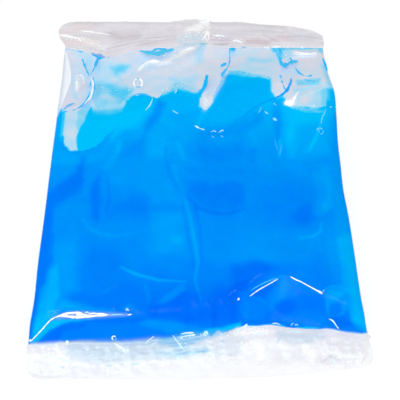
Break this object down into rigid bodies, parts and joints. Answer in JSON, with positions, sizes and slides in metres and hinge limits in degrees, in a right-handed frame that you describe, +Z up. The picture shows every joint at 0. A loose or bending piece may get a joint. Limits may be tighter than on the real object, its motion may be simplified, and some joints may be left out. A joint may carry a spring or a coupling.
{
  "type": "reusable gel ice pack",
  "caption": "Flat rectangular pouch of clear film, welded across both ends, filled with soft blue gel and a little air, for cooling food or a bruise.",
  "frame": {"origin": "under the middle of the pack, on the surface that it lies on", "axes": "+Z up through the thickness, +Y along the pack from the full end to the air pocket end, +X to the right"},
  "size_m": [0.1454, 0.207, 0.0168],
  "materials": {
    "clear_film": "clear soft film, glossy",
    "blue_gel": "wet translucent gel"
  },
  "bodies": {
    "root": {"film_pouch": "clear_film", "gel_fill": "blue_gel"}
  },
  "joints": []
}
